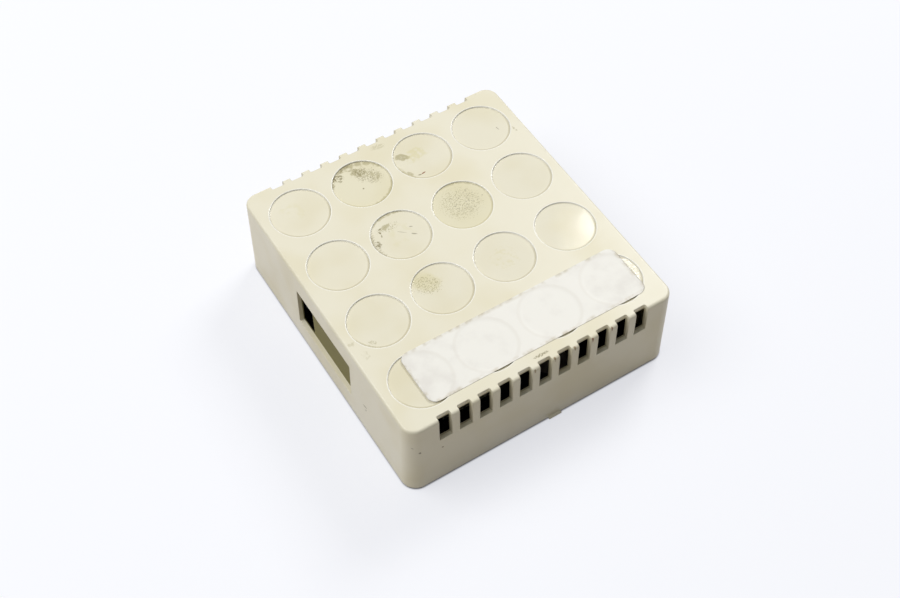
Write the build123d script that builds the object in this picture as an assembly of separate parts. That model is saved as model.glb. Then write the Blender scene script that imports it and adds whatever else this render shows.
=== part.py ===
"""Two-tone door chime: an ivory clip-on cover over a black base that carries a solenoid and two tone bars.

Millimetres. +Z points away from the wall, +X runs along the slotted front edge, +Y towards the back.
The origin is the centre of the base's back face, where the chime lies against the wall.
"""
import os
from math import atan, cos, degrees, pi, radians, sin, tan

from build123d import *

os.makedirs("parts", exist_ok=True)

# Cuts run past the surface that they open by this much
overrun = 1.0

# Cover
cover_width = 98.4
cover_depth = 107.4
cover_rise = 32.4
cover_draft = 0.7
cover_corner_radius = 5.2
cover_wall = 1.8
face_thickness = 2.0
face_edge_radius = 1.0
seam_height = 0.8

# Round recesses on the face
recess_columns = 4
recess_rows = 4
recess_diameter = 20.0
recess_pitch_x = 23.26
recess_pitch_y = 25.16
recess_depth = 0.45
recess_edge_radius = 0.16

# Sound slots through the front and back edges
slot_count = 11
slot_pitch = 7.15
slot_width = 4.5
slot_inset = 1.9
slot_drop = 10.6
slot_corner_radius = 0.5

# Sound windows in the side walls
window_length = 34.0
window_height = 16.2
window_drop = 8.2
window_shift = -0.7
window_corner_radius = 0.5

# Baffles that close the front part of the windows, flush with the wall's inner side at the rim
baffle_thickness = 1.6
baffle_short_of_window = 5.4
baffle_front_past_window = 1.9
baffle_post_radius = 2.4
baffle_floor_gap = 1.2

# Pry lip at the bottom of the front wall
lip_place = 4.4
lip_width = 4.7
lip_reach = 0.9
lip_thickness = 0.6

# Paper label
label_length = 79.1
label_width = 19.9
label_place_x = 2.75
label_from_front = 5.9
label_corner_radius = 3.0
label_thickness = 0.15

# Base plate
base_seam_inset = 0.6
base_thickness = 2.4
base_fit = 0.2
base_edge_round = 0.4

# Spring fingers on the base that grip the cover's front and back walls
finger_width = 9.0
finger_thickness = 1.3
finger_height = 9.0
finger_gap = 0.45
finger_spread = 56.0
finger_lead_in = 0.5

# Wall screw slots
wall_slot_spacing = 60.0
wall_slot_from_back = 15.7
wall_slot_length = 8.0
wall_slot_width = 4.2

# Cable entry, midway between the terminal block and the short bar
cable_hole_diameter = 14.0
cable_collar_wall = 2.0
cable_collar_height = 1.6
cable_from_front_wall = 6.9

# Tone bars, as tall and as long as the case leaves room for
bar_floor_gap = 1.5
bar_ceiling_gap = 2.3
bar_end_space = 6.9
bar_length_step = 10.0
bar_thickness = 2.2
bar_from_baffle = 2.0
bar_corner_radius = 1.5
bar_edge_bevel = 0.25
node_from_middle_share = 0.276
bar_hole_diameter = 7.0

# Grommets, pegs and posts that hang the bars
peg_diameter = 4.0
grommet_fit = 0.1
grommet_flange_past_hole = 1.5
grommet_flange_thickness = 1.0
grommet_edge_round = 0.3
post_width = 8.0
post_thickness = 2.2
post_head = 4.0
post_foot_round = 0.8
bar_screw_shank = 2.2
bar_screw_length = 5.0
bar_screw_head_past_bore = 1.15
bar_screw_head_height = 1.8

# Solenoid between the bars, with its axis at the height of their middle
frame_from_dong_bar = 18.9
frame_from_ding_bar = 21.9
frame_over_base = 1.2
frame_width = 22.0
frame_thickness = 1.6
frame_past_bobbin = 0.5
frame_bend_radius = 1.2
ear_width = 10.0
ear_reach = 10.0
ear_screw_from_frame = 5.0
ear_hole_fit = 0.6
bobbin_flange_thickness = 1.4
bobbin_end_gap = 0.2
bobbin_wall = 0.9
frame_under_bobbin = 0.7
flange_past_winding = 1.1
winding_gap = 0.05
wrap_thickness = 0.4
wrap_end_gap = 0.3
tube_wall = 0.6
tube_fit = 0.06
tube_past_frame = 1.0

# Plunger
core_diameter = 8.0
core_fit = 0.1
core_short_of_frame = 2.0
core_edge_round = 0.4
striker_diameter = 5.0
spigot_diameter = 3.0
spigot_length = 5.0
spigot_fit = 0.02
throw_to_dong = 7.0
throw_to_ding = 5.0
collar_past_spring = 0.6
collar_thickness = 1.5
collar_from_core = 5.0
collar_edge_round = 0.3

# Return spring
spring_wire = 0.6
spring_over_tube = 0.45
spring_turns = 5
spring_arcs_per_turn = 8
spring_seat_gap = 0.3

# Screws into the base
base_screw_shank = 2.6
base_screw_bite = 2.6
base_screw_head = 5.6
base_screw_head_height = 2.0
screw_fit = 0.02
boss_diameter = 8.0
screw_end_space = 0.3
cross_width = 0.8
cross_span = 3.4
cross_depth = 1.1

# Terminal block
block_from_dong_bar = 9.9
block_from_frame = 10.0
block_length = 19.0
block_width = 18.0
block_height = 11.0
block_edge_round = 0.6
block_pad_height = 3.0
block_groove_width = 1.6
block_groove_depth = 5.0
pole_spacing = 10.0
insert_side = 5.0
insert_end_inset = 1.0
insert_wall = 0.8
insert_rise = 4.5
insert_fit = 0.1
clamp_spacing = 9.0
clamp_diameter = 3.0
clamp_well_gap = 0.7
clamp_below_top = 0.6
clamp_slot_width = 0.7
clamp_slot_depth = 0.9
block_screw_head_seat = 4.0
block_screw_fit = 0.4

# Coil leads
lead_diameter = 1.3
lead_into_insert = 5.5
lead_bend_share = 0.45
lead_inner_from_frame_end = 10.0
lead_outer_from_frame_end = 5.3
lead_start_drop = 1.5
lead_straight_out = 4.2
lead_straight_in = 4.6

# Case: places worked out from the sizes above
face_height = seam_height + cover_rise
ceiling_height = face_height - face_thickness
draft_angle = degrees(atan(cover_draft / cover_rise))
half_depth_at_face = cover_depth / 2 - cover_draft
front_wall_inside = cover_depth / 2 - cover_wall
window_back = window_shift + window_length / 2
label_place_y = label_from_front + label_width / 2 - half_depth_at_face
wall_slot_place = cover_depth / 2 - wall_slot_from_back
baffle_outer_face = cover_width / 2 - cover_wall
baffle_back_end = window_back - baffle_short_of_window
baffle_post_x = baffle_outer_face - baffle_post_radius

# Bars and what hangs them
bar_height = ceiling_height - base_thickness - bar_floor_gap - bar_ceiling_gap
bar_length_dong = 2 * (front_wall_inside - bar_end_space)
bar_length_ding = bar_length_dong - bar_length_step
bar_lengths = {"dong": bar_length_dong, "ding": bar_length_ding}
bar_sides = {"dong": -1, "ding": 1}
bar_outer_face = baffle_post_x - baffle_post_radius - bar_from_baffle
bar_inner_face = bar_outer_face - bar_thickness
grommet_bore = peg_diameter + grommet_fit
grommet_groove_diameter = bar_hole_diameter - grommet_fit
grommet_flange_diameter = bar_hole_diameter + 2 * grommet_flange_past_hole
bar_screw_head = grommet_bore + 2 * bar_screw_head_past_bore
post_inner_face = bar_outer_face + grommet_flange_thickness
peg_end = bar_inner_face - grommet_flange_thickness

# Solenoid, plunger and spring
axis_height = base_thickness + bar_floor_gap + bar_height / 2
frame_left_face = frame_from_dong_bar - bar_inner_face
frame_right_face = bar_inner_face - frame_from_ding_bar
frame_length = frame_right_face - frame_left_face
coil_place = (frame_left_face + frame_right_face) / 2
frame_floor_bottom = base_thickness + frame_over_base
frame_floor_top = frame_floor_bottom + frame_thickness
ear_screw_from_middle = frame_width / 2 + ear_screw_from_frame
ear_hole_diameter = base_screw_shank + ear_hole_fit
bobbin_length = frame_length - 2 * frame_thickness - 2 * bobbin_end_gap
bobbin_flange_diameter = 2 * (axis_height - frame_floor_top - frame_under_bobbin)
winding_diameter = bobbin_flange_diameter - 2 * flange_past_winding
wrap_radius = winding_diameter / 2 + winding_gap + wrap_thickness
tube_inner_diameter = core_diameter + core_fit
tube_outer_diameter = tube_inner_diameter + 2 * tube_wall
tube_hole_diameter = tube_outer_diameter + tube_fit
core_length = frame_length - core_short_of_frame
core_place = coil_place + throw_to_dong
core_left_end = core_place - core_length / 2
core_right_end = core_place + core_length / 2
dong_tip = -bar_inner_face + throw_to_dong
ding_tip = bar_inner_face - throw_to_ding
collar_face = core_right_end + collar_from_core
spring_mean_diameter = tube_outer_diameter + 2 * spring_over_tube + spring_wire
collar_diameter = spring_mean_diameter + spring_wire + 2 * collar_past_spring

# Wiring
block_place_x = block_from_dong_bar + block_length / 2 - bar_inner_face
block_place_y = -(frame_width / 2 + block_from_frame + block_width / 2)
block_bottom = base_thickness + block_pad_height
block_top = block_bottom + block_height
block_screw_hole = base_screw_shank + block_screw_fit
insert_height = block_bottom + insert_rise
insert_length = block_width - 2 * insert_end_inset
insert_bore = insert_side - 2 * insert_wall
clamp_well_diameter = clamp_diameter + 2 * clamp_well_gap
cable_place_x = (block_place_x + block_length / 2 + bar_inner_face) / 2
cable_place_y = cable_from_front_wall + cable_hole_diameter / 2 + cable_collar_wall - front_wall_inside
lead_inner_start_x = frame_left_face + lead_inner_from_frame_end
lead_outer_start_x = frame_left_face + lead_outer_from_frame_end
pole_places = [block_place_x - pole_spacing / 2, block_place_x + pole_spacing / 2]


def tapered_block(width, depth, radius, bottom, height):
    """A rounded block whose four walls lean in by the cover's draft."""
    outline = Pos(0, 0, bottom) * RectangleRounded(width, depth, radius)
    return extrude(outline, amount=height, taper=draft_angle)


def rounded_plate(width, depth, radius, bottom, height):
    """A flat plate with rounded corners."""
    return extrude(Pos(0, 0, bottom) * RectangleRounded(width, depth, radius), amount=height)


def span_box(low, high):
    """A box between two opposite corners."""
    size = [high[i] - low[i] for i in range(3)]
    middle = [(high[i] + low[i]) / 2 for i in range(3)]
    return Pos(*middle) * Box(*size)


def disc_between(radius, low, high):
    """A round bar along Z between two heights."""
    return Pos(0, 0, low) * Cylinder(radius, high - low, align=(Align.CENTER, Align.CENTER, Align.MIN))


def along_x(shape):
    """Turns a shape made along +Z so that it lies along +X."""
    return Rot(0, 90, 0) * shape


def nodal_places(name):
    """The two places along Y where a bar hangs: the still points of its first bending mode."""
    reach = bar_lengths[name] * node_from_middle_share
    return [-reach, reach]


def cross_recess(top):
    """The driver's cross in a screw head, cut down from a height."""
    deep = Pos(0, 0, top - cross_depth / 2 + overrun / 2)
    one = deep * Box(cross_span, cross_width, cross_depth + overrun)
    other = deep * Box(cross_width, cross_span, cross_depth + overrun)
    return one + other


def pan_head_screw(shank, length, head, head_height):
    """A cross-head screw along Z, with the underside of its head at zero."""
    dome = disc_between(head / 2, 0, head_height)
    dome = fillet(dome.edges().group_by(Axis.Z)[-1], head_height / 2)
    body = disc_between(shank / 2, -length, 0)
    body = chamfer(body.edges().group_by(Axis.Z)[0], shank / 4)
    return dome + body - cross_recess(head_height)


def recess_cutter():
    """What a round recess removes: a shallow disc with a soft foot and a soft rim."""
    radius = recess_diameter / 2
    soft = recess_edge_radius
    foot = disc_between(radius, -recess_depth, overrun)
    foot = fillet(foot.edges().group_by(Axis.Z)[0], soft)
    rim = disc_between(radius + soft, -soft, overrun)
    ring = Pos(0, 0, -soft) * Torus(radius + soft, soft)
    return foot + (rim - ring)


def sound_slot():
    """What one sound slot removes, standing at the middle of the front edge."""
    inner = -(half_depth_at_face - slot_inset)
    low = (-slot_width / 2, -cover_depth / 2 - overrun, face_height - slot_drop)
    high = (slot_width / 2, inner, face_height + overrun)
    cutter = span_box(low, high)
    back_edges = cutter.edges().filter_by(Axis.Z).group_by(Axis.Y)[-1]
    return fillet(back_edges, slot_corner_radius)


def window_cutter():
    """One bar-shaped cut that opens the sound windows of both side walls."""
    top = face_height - window_drop
    low = (-cover_width / 2 - overrun, window_shift - window_length / 2, top - window_height)
    high = (cover_width / 2 + overrun, window_shift + window_length / 2, top)
    cutter = span_box(low, high)
    return fillet(cutter.edges().filter_by(Axis.X), window_corner_radius)


def baffle(side):
    """The wall that closes the front part of a window, with a round post at its back end."""
    front = window_shift - window_length / 2 - baffle_front_past_window
    post_y = baffle_back_end - baffle_post_radius
    foot = base_thickness + baffle_floor_gap
    top = face_height - face_thickness / 2
    inner = baffle_outer_face - baffle_thickness
    plate = span_box((inner, front, foot), (baffle_outer_face, post_y, top))
    post = Pos(baffle_post_x, post_y, 0) * disc_between(baffle_post_radius, foot, top)
    whole = plate + post
    if side < 0:
        return mirror(whole, about=Plane.YZ)
    return whole


def cover():
    """The ivory shell: recessed face, slotted edges, side windows, baffles and a pry lip."""
    shell = tapered_block(cover_width, cover_depth, cover_corner_radius, seam_height, cover_rise)
    shell = fillet(shell.edges().group_by(Axis.Z)[-1], face_edge_radius)
    cavity_width = cover_width - 2 * cover_wall
    cavity_depth = cover_depth - 2 * cover_wall
    cavity_radius = cover_corner_radius - cover_wall
    cavity_height = cover_rise - face_thickness
    shell -= tapered_block(cavity_width, cavity_depth, cavity_radius, seam_height, cavity_height)
    cutter = recess_cutter()
    for column in range(recess_columns):
        for row in range(recess_rows):
            x = (column - (recess_columns - 1) / 2) * recess_pitch_x
            y = (row - (recess_rows - 1) / 2) * recess_pitch_y
            shell -= Pos(x, y, face_height) * cutter
    front_slot = sound_slot()
    back_slot = mirror(front_slot, about=Plane.XZ)
    for index in range(slot_count):
        x = (index - (slot_count - 1) / 2) * slot_pitch
        shell -= Pos(x, 0, 0) * front_slot
        shell -= Pos(x, 0, 0) * back_slot
    shell -= window_cutter()
    shell += baffle(-1)
    shell += baffle(1)
    front_wall = -cover_depth / 2
    low = (lip_place - lip_width / 2, front_wall - lip_reach, seam_height)
    high = (lip_place + lip_width / 2, front_wall + cover_wall / 2, seam_height + lip_thickness)
    return shell + span_box(low, high)


def paper_label():
    """The blank label that lies across the front row of recesses."""
    sheet = Pos(label_place_x, label_place_y, face_height)
    return extrude(sheet * RectangleRounded(label_length, label_width, label_corner_radius), amount=label_thickness)


def bar_post(name, place):
    """One post on the base with the peg that a tone bar hangs on, and the peg's screw hole."""
    side = bar_sides[name]
    low = (post_inner_face, place - post_width / 2, 0)
    high = (post_inner_face + post_thickness, place + post_width / 2, axis_height + post_head)
    post = span_box(low, high)
    post = fillet(post.edges().filter_by(Axis.X).group_by(Axis.Z)[-1], post_head / 2)
    peg_length = post_inner_face - peg_end
    peg = disc_between(peg_diameter / 2, 0, peg_length + post_thickness / 2)
    hole = disc_between(bar_screw_shank / 2 + screw_fit, -overrun, bar_screw_length + screw_end_space)
    whole = post + Pos(peg_end, place, axis_height) * along_x(peg)
    whole -= Pos(peg_end, place, axis_height) * along_x(hole)
    if side < 0:
        return mirror(whole, about=Plane.YZ)
    return whole


def spring_finger(x, side):
    """One upright finger at the base's front or back edge that grips the cover's wall."""
    outer = cover_depth / 2 - cover_wall - finger_gap
    low = (x - finger_width / 2, outer - finger_thickness, 0)
    high = (x + finger_width / 2, outer, base_thickness + finger_height)
    finger = span_box(low, high)
    top_edges = finger.edges().filter_by(Axis.X).group_by(Axis.Z)[-1]
    finger = chamfer(top_edges.sort_by(Axis.Y)[-1], finger_lead_in)
    if side < 0:
        return mirror(finger, about=Plane.XZ)
    return finger


def screw_hole(top):
    """What a screw's shank removes from a boss, from a height down."""
    radius = base_screw_shank / 2 + screw_fit
    return disc_between(radius, top - base_screw_bite - screw_end_space, top + overrun)


def base_plate():
    """The black base: floor with a seam ledge, bosses, bar posts, spring fingers and its openings."""
    ledge_width = cover_width - 2 * base_seam_inset
    ledge_depth = cover_depth - 2 * base_seam_inset
    ledge = rounded_plate(ledge_width, ledge_depth, cover_corner_radius - base_seam_inset, 0, seam_height)
    inset = cover_wall + base_fit
    floor_width = cover_width - 2 * inset
    floor_depth = cover_depth - 2 * inset
    floor = rounded_plate(floor_width, floor_depth, cover_corner_radius - inset, 0, base_thickness)
    floor = fillet(floor.edges().group_by(Axis.Z)[-1], base_edge_round)
    plate = ledge + floor
    for side in (-1, 1):
        place = Pos(coil_place, side * ear_screw_from_middle, 0)
        plate += place * disc_between(boss_diameter / 2, 0, frame_floor_bottom)
        plate -= place * screw_hole(frame_floor_bottom)
        for x in (-finger_spread / 2, finger_spread / 2):
            plate += spring_finger(x, side)
    for name in bar_lengths:
        for place in nodal_places(name):
            plate += bar_post(name, place)
    pad = rounded_plate(block_length, block_width, block_edge_round, 0, block_bottom)
    plate += Pos(block_place_x, block_place_y, 0) * pad
    plate -= Pos(block_place_x, block_place_y, 0) * screw_hole(block_bottom)
    entry = Pos(cable_place_x, cable_place_y, 0)
    collar_radius = cable_hole_diameter / 2 + cable_collar_wall
    collar = disc_between(collar_radius, 0, base_thickness + cable_collar_height)
    plate += entry * fillet(collar.edges().group_by(Axis.Z)[-1], cable_collar_wall / 4)
    plate -= entry * disc_between(cable_hole_diameter / 2, -overrun, ceiling_height)
    for side in (-1, 1):
        slot = Pos(side * wall_slot_spacing / 2, wall_slot_place, -overrun)
        plate -= extrude(slot * SlotOverall(wall_slot_length, wall_slot_width), amount=base_thickness + 2 * overrun)
    return plate


def tone_bar(name):
    """A flat steel plate on edge, with two round holes at its still points."""
    length = bar_lengths[name]
    low = (bar_inner_face, -length / 2, axis_height - bar_height / 2)
    high = (bar_outer_face, length / 2, axis_height + bar_height / 2)
    bar = span_box(low, high)
    bar = fillet(bar.edges().filter_by(Axis.X), bar_corner_radius)
    bar = chamfer(bar.faces().sort_by(Axis.X)[0].edges(), bar_edge_bevel)
    bar = chamfer(bar.faces().sort_by(Axis.X)[-1].edges(), bar_edge_bevel)
    for place in nodal_places(name):
        hole = disc_between(bar_hole_diameter / 2, -overrun, bar_thickness + overrun)
        bar -= Pos(bar_inner_face, place, axis_height) * along_x(hole)
    if bar_sides[name] < 0:
        return mirror(bar, about=Plane.YZ)
    return bar


def grommet():
    """One rubber grommet along Z: two flanges, a groove between them and a bore."""
    length = bar_thickness + 2 * grommet_flange_thickness
    flange_radius = grommet_flange_diameter / 2
    low_flange = disc_between(flange_radius, 0, grommet_flange_thickness)
    low_flange = fillet(low_flange.edges(), grommet_edge_round)
    high_flange = Pos(0, 0, length - grommet_flange_thickness) * low_flange
    core = disc_between(grommet_groove_diameter / 2, 0, length)
    return core + low_flange + high_flange - disc_between(grommet_bore / 2, -overrun, length + overrun)


def tone_bar_grommets():
    """The four grommets, two in each bar."""
    ring = along_x(grommet())
    pieces = []
    for name, side in bar_sides.items():
        for place in nodal_places(name):
            piece = Pos(peg_end, place, axis_height) * ring
            pieces.append(mirror(piece, about=Plane.YZ) if side < 0 else piece)
    return Compound(pieces)


def tone_bar_screws():
    """The four screws that close the pegs, with heads wider than the grommets' bore."""
    screw = pan_head_screw(bar_screw_shank, bar_screw_length, bar_screw_head, bar_screw_head_height)
    lying = Rot(0, -90, 0) * screw
    pieces = []
    for name, side in bar_sides.items():
        for place in nodal_places(name):
            piece = Pos(peg_end, place, axis_height) * lying
            pieces.append(mirror(piece, about=Plane.YZ) if side < 0 else piece)
    return Compound(pieces)


def solenoid_frame():
    """The bent steel strip: a floor with two ears and an upright at each end, holed for the tube."""
    half = frame_length / 2
    top = axis_height + bobbin_flange_diameter / 2 + frame_past_bobbin
    outer = span_box((-half, -frame_width / 2, frame_floor_bottom), (half, frame_width / 2, top))
    outer = fillet(outer.edges().filter_by(Axis.Y).group_by(Axis.Z)[0], frame_bend_radius + frame_thickness)
    inner_half = half - frame_thickness
    inner_low = (-inner_half, -frame_width, frame_floor_top)
    inner = span_box(inner_low, (inner_half, frame_width, top + overrun))
    inner = fillet(inner.edges().filter_by(Axis.Y).group_by(Axis.Z)[0], frame_bend_radius)
    strip = outer - inner
    reach = frame_width / 2 + ear_reach
    ears = span_box((-ear_width / 2, -reach, frame_floor_bottom), (ear_width / 2, reach, frame_floor_top))
    strip += fillet(ears.edges().filter_by(Axis.Z), ear_width / 4)
    tube_hole = disc_between(tube_hole_diameter / 2, -half - overrun, half + overrun)
    strip -= Pos(0, 0, axis_height) * along_x(tube_hole)
    for side in (-1, 1):
        hole = disc_between(ear_hole_diameter / 2, frame_floor_bottom - overrun, frame_floor_top + overrun)
        strip -= Pos(0, side * ear_screw_from_middle, 0) * hole
    return Pos(coil_place, 0, 0) * strip


def solenoid_screws():
    """The two screws that hold the frame's ears on the base's bosses."""
    length = frame_thickness + base_screw_bite
    screw = pan_head_screw(base_screw_shank, length, base_screw_head, base_screw_head_height)
    places = [-ear_screw_from_middle, ear_screw_from_middle]
    return Compound([Pos(coil_place, y, frame_floor_top) * screw for y in places])


def on_coil_axis(shape):
    """Puts a shape made along Z, centred on zero, on the solenoid's axis."""
    return Pos(coil_place, 0, axis_height) * along_x(shape)


def coil_bobbin():
    """The moulded spool between the frame's uprights."""
    half = bobbin_length / 2
    inside = half - bobbin_flange_thickness
    spool = disc_between(tube_hole_diameter / 2 + bobbin_wall, -half, half)
    for low, high in ((-half, -inside), (inside, half)):
        spool += disc_between(bobbin_flange_diameter / 2, low, high)
    return on_coil_axis(spool - disc_between(tube_hole_diameter / 2, -half - overrun, half + overrun))


def coil_winding():
    """The copper winding as one ring between the flanges."""
    inside = bobbin_length / 2 - bobbin_flange_thickness
    ring = disc_between(winding_diameter / 2, -inside, inside)
    bore = tube_hole_diameter / 2 + bobbin_wall
    return on_coil_axis(ring - disc_between(bore, -inside - overrun, inside + overrun))


def coil_wrap():
    """The tape round the winding."""
    inside = bobbin_length / 2 - bobbin_flange_thickness - wrap_end_gap
    ring = disc_between(wrap_radius, -inside, inside)
    bore = winding_diameter / 2 + winding_gap
    return on_coil_axis(ring - disc_between(bore, -inside - overrun, inside + overrun))


def guide_tube():
    """The brass tube through bobbin and frame that the plunger runs in."""
    half = frame_length / 2 + tube_past_frame
    tube = disc_between(tube_outer_diameter / 2, -half, half)
    return on_coil_axis(tube - disc_between(tube_inner_diameter / 2, -half - overrun, half + overrun))


def plunger_core():
    """The steel core, bored at both ends for the strikers' spigots."""
    core = disc_between(core_diameter / 2, core_left_end, core_right_end)
    core = fillet(core.edges(), core_edge_round)
    bore = spigot_diameter / 2 + spigot_fit
    core -= disc_between(bore, core_left_end - overrun, core_left_end + spigot_length + screw_end_space)
    core -= disc_between(bore, core_right_end - spigot_length - screw_end_space, core_right_end + overrun)
    return Pos(0, 0, axis_height) * along_x(core)


def striker(root, tip):
    """A nylon pin from the core's end to its round tip, with a spigot into the core."""
    way = 1 if tip > root else -1
    radius = striker_diameter / 2
    length = abs(tip - root)
    pin = disc_between(radius, 0, length - radius) + Pos(0, 0, length - radius) * Sphere(radius)
    pin += disc_between(spigot_diameter / 2, -spigot_length, radius)
    pin = along_x(pin)
    if way < 0:
        pin = mirror(pin, about=Plane.YZ)
    return Pos(root, 0, axis_height) * pin


def striker_dong():
    """The left striker, which hits the long bar."""
    return striker(core_left_end, dong_tip)


def striker_ding():
    """The right striker, which hits the short bar and carries the spring's collar."""
    collar = disc_between(collar_diameter / 2, collar_face, collar_face + collar_thickness)
    collar = fillet(collar.edges(), collar_edge_round)
    return striker(core_right_end, ding_tip) + Pos(0, 0, axis_height) * along_x(collar)


def biarc(start, start_way, end, end_way):
    """Two arcs that leave one point and reach another in the two given directions."""
    gap = end - start
    both = start_way + end_way
    spread = 2 * (1 - start_way.dot(end_way))
    lean = gap.dot(both)
    reach = (-lean + (lean * lean + spread * gap.dot(gap)) ** 0.5) / spread
    knee_in = start + start_way * reach
    knee_out = end - end_way * reach
    joint = (knee_in + knee_out) * 0.5
    joint_way = (knee_out - knee_in).normalized()
    first = TangentArc(start, joint, tangent=start_way)
    second = TangentArc(joint, end, tangent=joint_way)
    return [first, second]


def spring_path():
    """The spring's middle line along +X: a helix as one chain of arcs."""
    start = frame_right_face + spring_seat_gap + spring_wire / 2
    end = collar_face - spring_seat_gap - spring_wire / 2
    radius = spring_mean_diameter / 2
    rise = (end - start) / (2 * pi * spring_turns)
    spans = spring_turns * spring_arcs_per_turn // 2
    points = []
    ways = []
    for index in range(spans + 1):
        angle = 2 * pi * spring_turns * index / spans
        points.append(Vector(start + rise * angle, radius * cos(angle), axis_height + radius * sin(angle)))
        ways.append(Vector(rise, -radius * sin(angle), radius * cos(angle)).normalized())
    arcs = []
    for index in range(spans):
        arcs += biarc(points[index], ways[index], points[index + 1], ways[index + 1])
    return Wire(arcs)


def return_spring():
    """The helical spring between the frame and the striker's collar, as one unbroken tube."""
    path = spring_path()
    profile = Plane(origin=path @ 0, z_dir=path % 0) * Circle(spring_wire / 2)
    spring = sweep(profile, path=path)
    pitch = (collar_face - frame_right_face - 2 * spring_seat_gap - spring_wire) / spring_turns
    samples = spring_turns * spring_arcs_per_turn * 4
    points = [path @ (index / samples) for index in range(samples + 1)]
    apart = samples // spring_turns // 2
    gaps = [(points[i] - points[j]).length for i in range(len(points)) for j in range(i + apart, len(points))]
    print("spring: pitch", round(pitch, 3), "least gap to itself", round(min(gaps) - spring_wire, 3))
    expected = pi * (spring_wire / 2) ** 2 * path.length
    print("spring: volume", round(spring.volume, 3), "section times length", round(expected, 3))
    return spring


def terminal_block():
    """The two-pole block: wells for the clamp screws, channels for the inserts, a groove between poles."""
    low = (-block_length / 2, -block_width / 2, block_bottom)
    high = (block_length / 2, block_width / 2, block_top)
    block = span_box(low, high)
    block = fillet(block.edges().filter_by(Axis.Z) + block.edges().group_by(Axis.Z)[-1], block_edge_round)
    groove = (block_groove_width / 2, block_width / 2 + overrun, block_top + overrun)
    block -= span_box((-groove[0], -groove[1], block_top - block_groove_depth), groove)
    channel = insert_side / 2 + insert_fit
    for side in (-1, 1):
        x = side * pole_spacing / 2
        end = block_width / 2 + overrun
        low = (x - channel, -end, insert_height - channel)
        block -= span_box(low, (x + channel, end, insert_height + channel))
        for y in (-clamp_spacing / 2, clamp_spacing / 2):
            block -= Pos(x, y, 0) * disc_between(clamp_well_diameter / 2, insert_height, block_top + overrun)
    seat = block_top - block_screw_head_seat
    block -= disc_between(block_screw_hole / 2, block_bottom - overrun, block_top + overrun)
    block -= disc_between(base_screw_head / 2 + insert_fit, seat, block_top + overrun)
    return Pos(block_place_x, block_place_y, 0) * block


def terminal_inserts():
    """The two brass inserts, bored along Y for the wires and tapped from above for the clamp screws."""
    half = insert_side / 2
    low = (-half, -insert_length / 2, insert_height - half)
    bar = span_box(low, (half, insert_length / 2, insert_height + half))
    bore = disc_between(insert_bore / 2, -insert_length / 2 - overrun, insert_length / 2 + overrun)
    bar -= Pos(0, 0, insert_height) * (Rot(90, 0, 0) * bore)
    for y in (-clamp_spacing / 2, clamp_spacing / 2):
        hole = disc_between(clamp_diameter / 2 + screw_fit, insert_height, insert_height + insert_side)
        bar -= Pos(0, y, 0) * hole
    return Compound([Pos(x, block_place_y, 0) * bar for x in pole_places])


def clamp_screw():
    """One slotted clamp screw, from the wire's top to just under the block's top."""
    low = insert_height + lead_diameter / 2
    high = block_top - clamp_below_top
    screw = disc_between(clamp_diameter / 2, low, high)
    screw = chamfer(screw.edges().group_by(Axis.Z)[0], clamp_diameter / 8)
    slot = Pos(0, 0, high) * Box(clamp_diameter + overrun, clamp_slot_width, 2 * clamp_slot_depth)
    return screw - slot


def terminal_screws():
    """The four clamp screws, two over each insert."""
    places = [(x, y) for x in pole_places for y in (-clamp_spacing / 2, clamp_spacing / 2)]
    return Compound([Pos(x, block_place_y + y, 0) * clamp_screw() for x, y in places])


def block_screw():
    """The screw through the middle of the block into its pad."""
    seat = block_top - block_screw_head_seat
    length = seat - block_bottom + base_screw_bite
    screw = pan_head_screw(base_screw_shank, length, base_screw_head, base_screw_head_height)
    return Pos(block_place_x, block_place_y, seat) * screw


def lead_radii(points):
    """The largest arcs that the runs beside each corner leave room for."""
    radii = []
    for before, corner, after in zip(points, points[1:], points[2:]):
        run_in = corner - before
        run_out = after - corner
        half_turn = radians(run_in.get_angle(run_out)) / 2
        radii.append(lead_bend_share * min(run_in.length, run_out.length) / tan(half_turn))
    return radii


def coil_lead(name, start_x, pole_x):
    """One coil lead: out of the tape, down beside the coil and into its pole's insert."""
    start_z = axis_height - lead_start_drop
    start_y = -(wrap_radius**2 - lead_start_drop**2) ** 0.5 - winding_gap
    end_y = block_place_y + block_width / 2 - lead_into_insert
    entry_y = block_place_y + block_width / 2 + lead_straight_in
    points = [
        Vector(start_x, start_y, start_z),
        Vector(start_x, start_y - lead_straight_out, start_z - lead_diameter / 4),
        Vector(pole_x, entry_y - lead_diameter, insert_height),
        Vector(pole_x, end_y, insert_height),
    ]
    radii = lead_radii(points)
    print(name, "radii", [round(value, 2) for value in radii])
    path = FilletPolyline(*points, radius=radii)
    profile = Plane(origin=path @ 0, z_dir=path % 0) * Circle(lead_diameter / 2)
    lead = sweep(profile, path=path)
    expected = pi * (lead_diameter / 2) ** 2 * path.length
    print(name, "volume", round(lead.volume, 2), "section times length", round(expected, 2))
    return lead


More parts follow.
